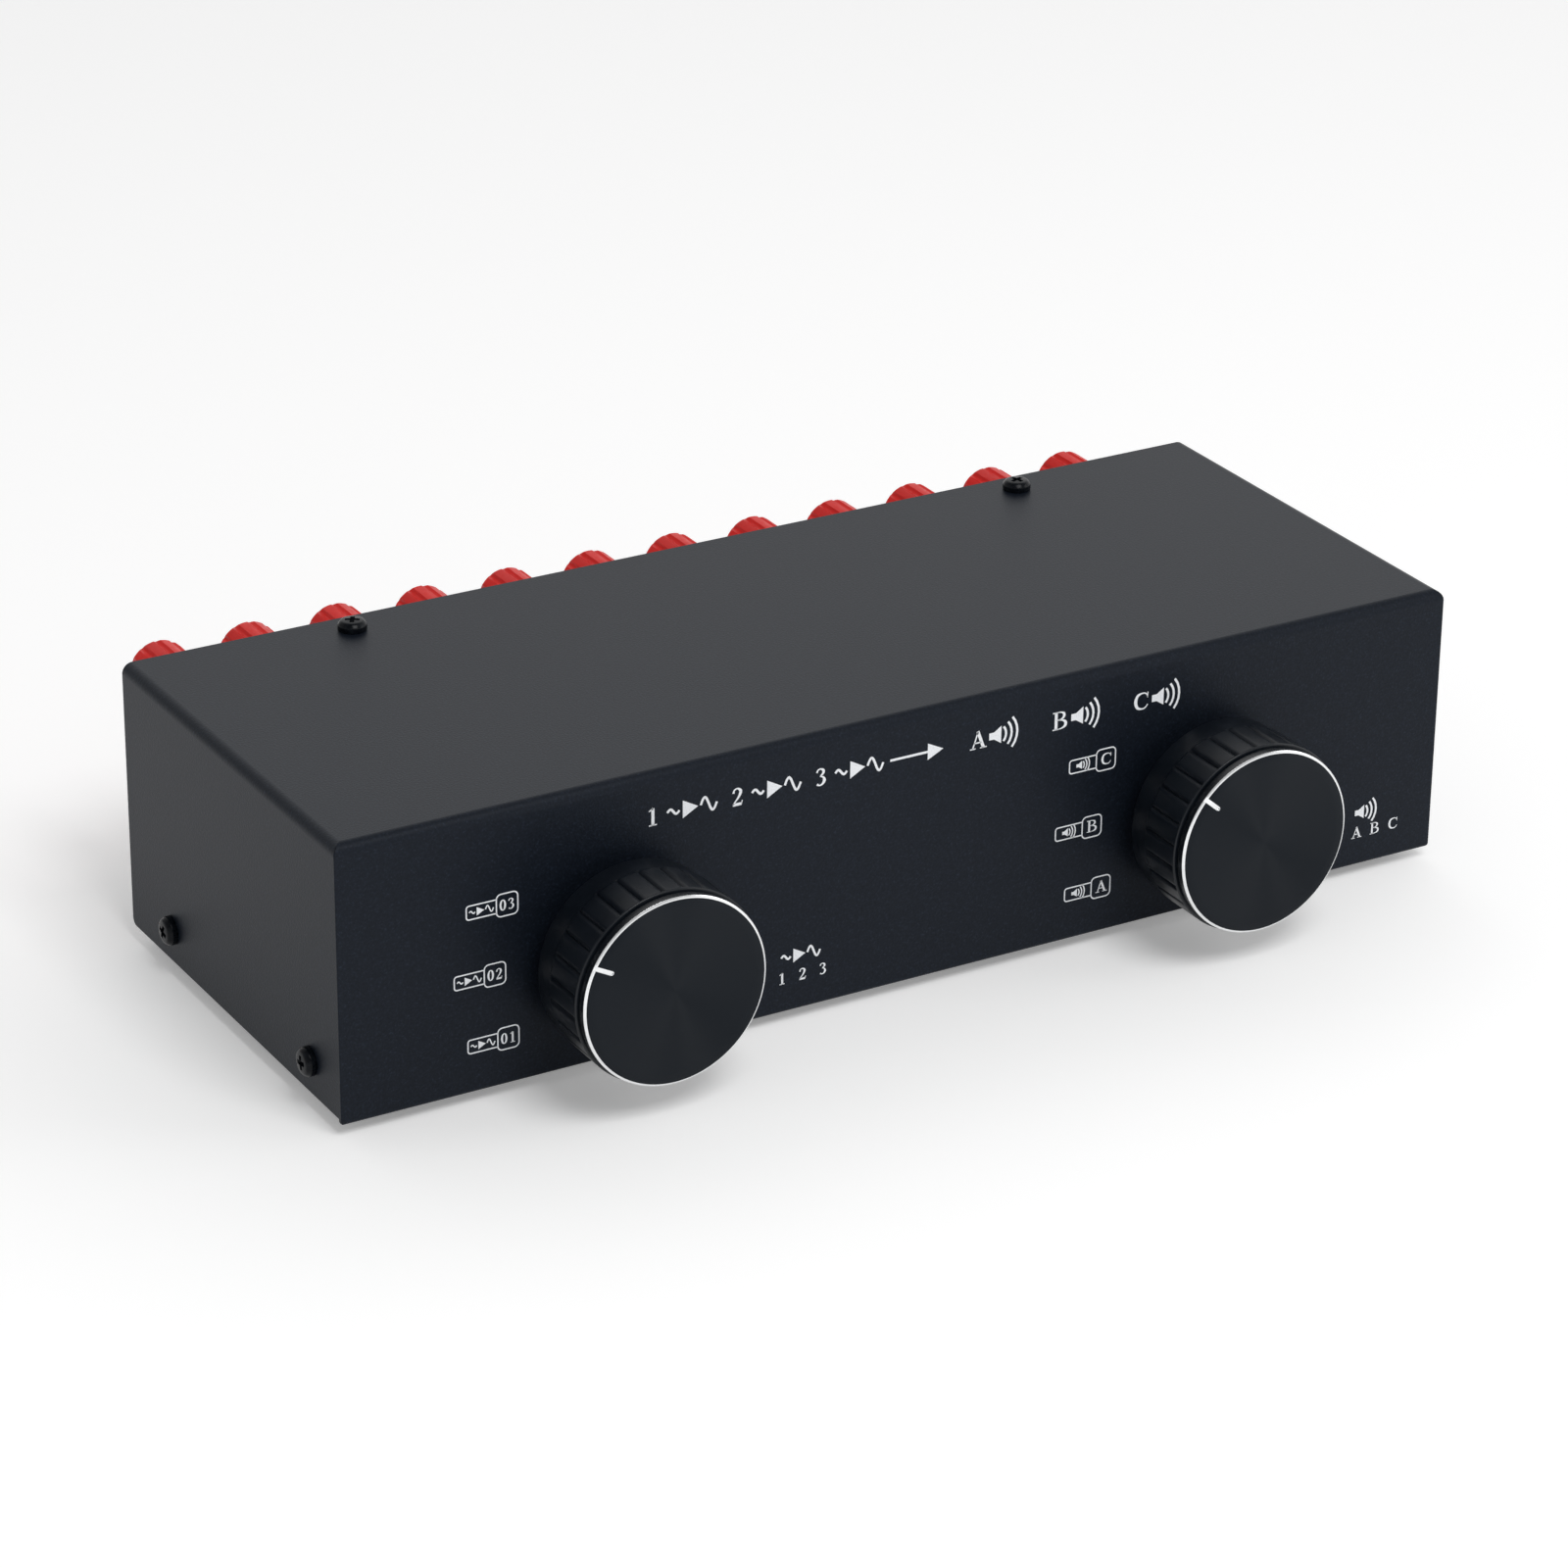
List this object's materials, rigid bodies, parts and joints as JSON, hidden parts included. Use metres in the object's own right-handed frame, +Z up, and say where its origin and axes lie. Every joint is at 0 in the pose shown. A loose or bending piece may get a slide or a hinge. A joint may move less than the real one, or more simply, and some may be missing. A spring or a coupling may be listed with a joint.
{
  "type": "speaker selector switch",
  "caption": "Steel switch box with two fluted rotary selector knobs on the front and two rows of screw-cap binding posts on the rear.",
  "frame": {"origin": "on the surface that the feet stand on, midway between the cabinet's sides and midway between the knob faces and the ends of the post caps", "axes": "+X to the right seen from the front, +Y to the rear, +Z up; the knobs face -Y"},
  "size_m": [0.2544, 0.1412, 0.0625],
  "materials": {
    "cover_paint": "fine textured powder coat, satin",
    "chassis_paint": "fine textured powder coat, satin",
    "screw_black": "black oxide, semi-gloss",
    "foot_rubber": "matte",
    "knob_plastic": "moulded, semi-matte",
    "knob_aluminium": "black anodised, spun, with a bright turned edge",
    "steel": "zinc plated",
    "die_cast": "die cast zinc",
    "moulding": "natural moulding",
    "phenolic": "phenolic board",
    "contact_metal": "silver plated",
    "post_metal": "nickel plated, turned",
    "red_plastic": "moulded, semi-gloss",
    "black_plastic": "moulded, semi-gloss",
    "fibre": "insulating washer",
    "wire_red": "PVC insulation",
    "wire_black": "PVC insulation"
  },
  "bodies": {
    "cabinet": {"cover": "cover_paint", "chassis": "chassis_paint", "cover_screws": "screw_black", "front_feet": "foot_rubber", "rear_feet": "foot_rubber", "amp_switch_housing": "die_cast", "amp_switch_wafer": "phenolic", "amp_switch_terminals": "contact_metal", "speaker_switch_housing": "die_cast", "speaker_switch_wafer": "phenolic", "speaker_switch_terminals": "contact_metal", "stop_rings": "steel", "switch_washers": "steel", "switch_nuts": "steel", "detent_balls": "steel", "detent_springs": "steel", "red_post_bases": "red_plastic", "black_post_bases": "black_plastic", "post_studs": "post_metal", "post_washers": "fibre", "solder_tags": "contact_metal", "post_nuts": "post_metal", "amp_wires": "wire_red", "speaker_wires": "wire_red", "link_wires": "wire_black"},
    "amp_selector": {"amp_knob": "knob_plastic", "amp_knob_face": "knob_aluminium", "amp_shaft": "steel", "amp_rotor": "moulding", "amp_wipers": "contact_metal"},
    "speaker_selector": {"speaker_knob": "knob_plastic", "speaker_knob_face": "knob_aluminium", "speaker_shaft": "steel", "speaker_rotor": "moulding", "speaker_wipers": "contact_metal"},
    "red_cap_01_body": {"red_cap_01": "red_plastic"},
    "red_cap_02_body": {"red_cap_02": "red_plastic"},
    "red_cap_03_body": {"red_cap_03": "red_plastic"},
    "red_cap_04_body": {"red_cap_04": "red_plastic"},
    "red_cap_05_body": {"red_cap_05": "red_plastic"},
    "red_cap_06_body": {"red_cap_06": "red_plastic"},
    "red_cap_07_body": {"red_cap_07": "red_plastic"},
    "red_cap_08_body": {"red_cap_08": "red_plastic"},
    "red_cap_09_body": {"red_cap_09": "red_plastic"},
    "red_cap_10_body": {"red_cap_10": "red_plastic"},
    "red_cap_11_body": {"red_cap_11": "red_plastic"},
    "red_cap_12_body": {"red_cap_12": "red_plastic"},
    "black_cap_01_body": {"black_cap_01": "black_plastic"},
    "black_cap_02_body": {"black_cap_02": "black_plastic"},
    "black_cap_03_body": {"black_cap_03": "black_plastic"},
    "black_cap_04_body": {"black_cap_04": "black_plastic"},
    "black_cap_05_body": {"black_cap_05": "black_plastic"},
    "black_cap_06_body": {"black_cap_06": "black_plastic"},
    "black_cap_07_body": {"black_cap_07": "black_plastic"},
    "black_cap_08_body": {"black_cap_08": "black_plastic"},
    "black_cap_09_body": {"black_cap_09": "black_plastic"},
    "black_cap_10_body": {"black_cap_10": "black_plastic"},
    "black_cap_11_body": {"black_cap_11": "black_plastic"},
    "black_cap_12_body": {"black_cap_12": "black_plastic"}
  },
  "joints": [
    {"name": "amp_selector_turn", "type": "hinge", "parent": "cabinet", "child": "amp_selector", "pos_m": [-0.0665, -0.0474, 0.0267], "axis": [0, -1, 0], "range_deg": [0, 60]},
    {"name": "speaker_selector_turn", "type": "hinge", "parent": "cabinet", "child": "speaker_selector", "pos_m": [0.0665, -0.0474, 0.0267], "axis": [0, -1, 0], "range_deg": [0, 60]},
    {"name": "red_cap_01_unscrew", "type": "slide", "parent": "cabinet", "child": "red_cap_01_body", "axis": [0, 1, 0], "range_m": [0, 0.004]},
    {"name": "red_cap_02_unscrew", "type": "slide", "parent": "cabinet", "child": "red_cap_02_body", "axis": [0, 1, 0], "range_m": [0, 0.004]},
    {"name": "red_cap_03_unscrew", "type": "slide", "parent": "cabinet", "child": "red_cap_03_body", "axis": [0, 1, 0], "range_m": [0, 0.004]},
    {"name": "red_cap_04_unscrew", "type": "slide", "parent": "cabinet", "child": "red_cap_04_body", "axis": [0, 1, 0], "range_m": [0, 0.004]},
    {"name": "red_cap_05_unscrew", "type": "slide", "parent": "cabinet", "child": "red_cap_05_body", "axis": [0, 1, 0], "range_m": [0, 0.004]},
    {"name": "red_cap_06_unscrew", "type": "slide", "parent": "cabinet", "child": "red_cap_06_body", "axis": [0, 1, 0], "range_m": [0, 0.004]},
    {"name": "red_cap_07_unscrew", "type": "slide", "parent": "cabinet", "child": "red_cap_07_body", "axis": [0, 1, 0], "range_m": [0, 0.004]},
    {"name": "red_cap_08_unscrew", "type": "slide", "parent": "cabinet", "child": "red_cap_08_body", "axis": [0, 1, 0], "range_m": [0, 0.004]},
    {"name": "red_cap_09_unscrew", "type": "slide", "parent": "cabinet", "child": "red_cap_09_body", "axis": [0, 1, 0], "range_m": [0, 0.004]},
    {"name": "red_cap_10_unscrew", "type": "slide", "parent": "cabinet", "child": "red_cap_10_body", "axis": [0, 1, 0], "range_m": [0, 0.004]},
    {"name": "red_cap_11_unscrew", "type": "slide", "parent": "cabinet", "child": "red_cap_11_body", "axis": [0, 1, 0], "range_m": [0, 0.004]},
    {"name": "red_cap_12_unscrew", "type": "slide", "parent": "cabinet", "child": "red_cap_12_body", "axis": [0, 1, 0], "range_m": [0, 0.004]},
    {"name": "black_cap_01_unscrew", "type": "slide", "parent": "cabinet", "child": "black_cap_01_body", "axis": [0, 1, 0], "range_m": [0, 0.004]},
    {"name": "black_cap_02_unscrew", "type": "slide", "parent": "cabinet", "child": "black_cap_02_body", "axis": [0, 1, 0], "range_m": [0, 0.004]},
    {"name": "black_cap_03_unscrew", "type": "slide", "parent": "cabinet", "child": "black_cap_03_body", "axis": [0, 1, 0], "range_m": [0, 0.004]},
    {"name": "black_cap_04_unscrew", "type": "slide", "parent": "cabinet", "child": "black_cap_04_body", "axis": [0, 1, 0], "range_m": [0, 0.004]},
    {"name": "black_cap_05_unscrew", "type": "slide", "parent": "cabinet", "child": "black_cap_05_body", "axis": [0, 1, 0], "range_m": [0, 0.004]},
    {"name": "black_cap_06_unscrew", "type": "slide", "parent": "cabinet", "child": "black_cap_06_body", "axis": [0, 1, 0], "range_m": [0, 0.004]},
    {"name": "black_cap_07_unscrew", "type": "slide", "parent": "cabinet", "child": "black_cap_07_body", "axis": [0, 1, 0], "range_m": [0, 0.004]},
    {"name": "black_cap_08_unscrew", "type": "slide", "parent": "cabinet", "child": "black_cap_08_body", "axis": [0, 1, 0], "range_m": [0, 0.004]},
    {"name": "black_cap_09_unscrew", "type": "slide", "parent": "cabinet", "child": "black_cap_09_body", "axis": [0, 1, 0], "range_m": [0, 0.004]},
    {"name": "black_cap_10_unscrew", "type": "slide", "parent": "cabinet", "child": "black_cap_10_body", "axis": [0, 1, 0], "range_m": [0, 0.004]},
    {"name": "black_cap_11_unscrew", "type": "slide", "parent": "cabinet", "child": "black_cap_11_body", "axis": [0, 1, 0], "range_m": [0, 0.004]},
    {"name": "black_cap_12_unscrew", "type": "slide", "parent": "cabinet", "child": "black_cap_12_body", "axis": [0, 1, 0], "range_m": [0, 0.004]}
  ]
}
